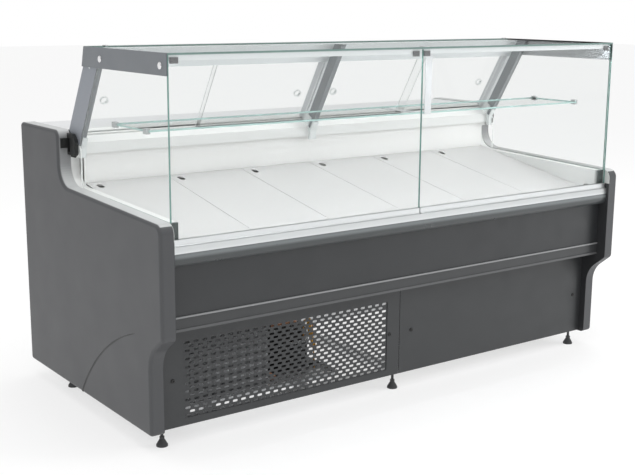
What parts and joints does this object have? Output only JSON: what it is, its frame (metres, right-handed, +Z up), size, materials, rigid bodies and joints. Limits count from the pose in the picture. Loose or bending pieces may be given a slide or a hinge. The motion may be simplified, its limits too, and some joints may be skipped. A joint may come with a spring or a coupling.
{
  "type": "refrigerated deli case",
  "caption": "Serve-over refrigerated deli case: straight glass front, glass shelf, sliding rear doors, grilled plinth and built-in condensing unit.",
  "frame": {"origin": "on the floor, at the middle of the case's length and depth", "axes": "+X to the customer's right along the case, +Y from the customer to the server, +Z up"},
  "size_m": [2.04, 1.05, 1.244],
  "materials": {
    "end_panel_grey": "satin moulded grey, fine grain",
    "trim_black": "matt black",
    "liner_white": "smooth off-white stove enamel",
    "end_wall_grey": "satin light grey",
    "galvanised": "galvanised, faint spangle",
    "foot_black": "moulded nylon, matt",
    "plinth_grey": "satin powder coat",
    "screw_black": "black oxide",
    "fascia_grey": "satin powder coat",
    "rail_grey": "anodised, satin",
    "bumper_grey": "smooth vinyl, satin",
    "sill_aluminium": "anodised, satin",
    "post_aluminium": "anodised, satin",
    "beam_white": "anodised, pale",
    "bracket_grey": "satin coat",
    "cap_chrome": "polished",
    "clear_glass": "clear float glass, ground green edges",
    "clamp_dark": "satin",
    "lamp_aluminium": "anodised, satin",
    "hanger_white": "satin",
    "fins": "thin bright fins",
    "condenser_dark": "dark coated fins",
    "fan_black": "moulded, matt",
    "drain_grey": "moulded, matt",
    "worktop_steel": "brushed along its length",
    "control_black": "fine texture",
    "switch_black": "gloss",
    "shroud_grey": "satin",
    "compressor_black": "gloss enamel",
    "copper": "drawn copper, dulled"
  },
  "bodies": {
    "case": {"base_frame": "galvanised", "bumper_rail": "bumper_grey", "compressor": "compressor_black", "condenser": "condenser_dark", "control_box": "control_black", "dark_trims": "trim_black", "deck_panels": "liner_white", "drain_pipe": "drain_grey", "duct_panel": "liner_white", "end_walls": "end_wall_grey", "evaporator": "fins", "evaporator_fan_plate": "galvanised", "fan_shroud": "shroud_grey", "fascia_panel": "fascia_grey", "fascia_rail": "rail_grey", "glass_clamps": "clamp_dark", "glass_fixing_caps": "cap_chrome", "glass_shelf": "clear_glass", "glass_sill": "sill_aluminium", "insulated_tub": "liner_white", "lamp_housing": "lamp_aluminium", "left_end_glass": "clear_glass", "left_post": "post_aluminium", "left_side_panel": "end_panel_grey", "middle_post": "post_aluminium", "perforated_grille": "plinth_grey", "pipework": "copper", "plinth_blank_panel": "plinth_grey", "plinth_grille_panel": "plinth_grey", "plinth_screws": "screw_black", "post_shoes": "beam_white", "rear_beam": "beam_white", "rear_panel": "galvanised", "right_end_glass": "clear_glass", "right_post": "post_aluminium", "right_side_panel": "end_panel_grey", "shelf_hanger": "hanger_white", "top_brackets": "bracket_grey", "top_glass": "clear_glass", "top_rail": "post_aluminium", "unit_tray": "galvanised", "worktop": "worktop_steel"},
    "left_outer_door": {"left_bay_outer_door": "clear_glass"},
    "left_inner_door": {"left_bay_inner_door": "clear_glass"},
    "right_inner_door": {"right_bay_inner_door": "clear_glass"},
    "right_outer_door": {"right_bay_outer_door": "clear_glass"},
    "left_pane": {"left_front_pane": "clear_glass", "left_pane_profile": "sill_aluminium"},
    "right_pane": {"right_front_pane": "clear_glass", "right_pane_profile": "sill_aluminium"},
    "left_evaporator_fan": {"evaporator_fan_left": "fan_black"},
    "right_evaporator_fan": {"evaporator_fan_right": "fan_black"},
    "condenser_fan": {"condenser_fan": "fan_black"},
    "rocker": {"rocker_switch": "switch_black"},
    "front_left_foot": {"foot_front_left": "foot_black"},
    "front_middle_foot": {"foot_front_middle": "foot_black"},
    "front_right_foot": {"foot_front_right": "foot_black"},
    "rear_left_foot": {"foot_rear_left": "foot_black"},
    "rear_middle_foot": {"foot_rear_middle": "foot_black"},
    "rear_right_foot": {"foot_rear_right": "foot_black"}
  },
  "joints": [
    {"name": "left_outer_door_slide", "type": "slide", "parent": "case", "child": "left_outer_door", "axis": [1, 0, 0], "range_m": [0, 0.455]},
    {"name": "left_inner_door_slide", "type": "slide", "parent": "case", "child": "left_inner_door", "axis": [-1, 0, 0], "range_m": [0, 0.455]},
    {"name": "right_inner_door_slide", "type": "slide", "parent": "case", "child": "right_inner_door", "axis": [1, 0, 0], "range_m": [0, 0.455]},
    {"name": "right_outer_door_slide", "type": "slide", "parent": "case", "child": "right_outer_door", "axis": [-1, 0, 0], "range_m": [0, 0.455]},
    {"name": "left_pane_tilt", "type": "hinge", "parent": "case", "child": "left_pane", "pos_m": [-0.485, -0.504, 0.671], "axis": [1, 0, 0], "range_deg": [0, 60]},
    {"name": "right_pane_tilt", "type": "hinge", "parent": "case", "child": "right_pane", "pos_m": [0.485, -0.504, 0.671], "axis": [1, 0, 0], "range_deg": [0, 60]},
    {"name": "condenser_fan_spin", "type": "hinge", "parent": "case", "child": "condenser_fan", "pos_m": [-0.6645, -0.253, 0.1985], "axis": [0, 1, 0], "continuous": true},
    {"name": "left_evaporator_fan_spin", "type": "hinge", "parent": "case", "child": "left_evaporator_fan", "pos_m": [-0.3, -0.2, 0.56], "axis": [0, 1, 0], "continuous": true},
    {"name": "right_evaporator_fan_spin", "type": "hinge", "parent": "case", "child": "right_evaporator_fan", "pos_m": [0.3, -0.2, 0.56], "axis": [0, 1, 0], "continuous": true},
    {"name": "rocker_tip", "type": "hinge", "parent": "case", "child": "rocker", "pos_m": [0.53, 0.502, 0.835], "axis": [1, 0, 0], "range_deg": [-16, 0]},
    {"name": "front_left_foot_screw_out", "type": "slide", "parent": "case", "child": "front_left_foot", "axis": [0, 0, -1], "range_m": [0, 0.02]},
    {"name": "front_middle_foot_screw_out", "type": "slide", "parent": "case", "child": "front_middle_foot", "axis": [0, 0, -1], "range_m": [0, 0.02]},
    {"name": "front_right_foot_screw_out", "type": "slide", "parent": "case", "child": "front_right_foot", "axis": [0, 0, -1], "range_m": [0, 0.02]},
    {"name": "rear_left_foot_screw_out", "type": "slide", "parent": "case", "child": "rear_left_foot", "axis": [0, 0, -1], "range_m": [0, 0.02]},
    {"name": "rear_middle_foot_screw_out", "type": "slide", "parent": "case", "child": "rear_middle_foot", "axis": [0, 0, -1], "range_m": [0, 0.02]},
    {"name": "rear_right_foot_screw_out", "type": "slide", "parent": "case", "child": "rear_right_foot", "axis": [0, 0, -1], "range_m": [0, 0.02]}
  ]
}
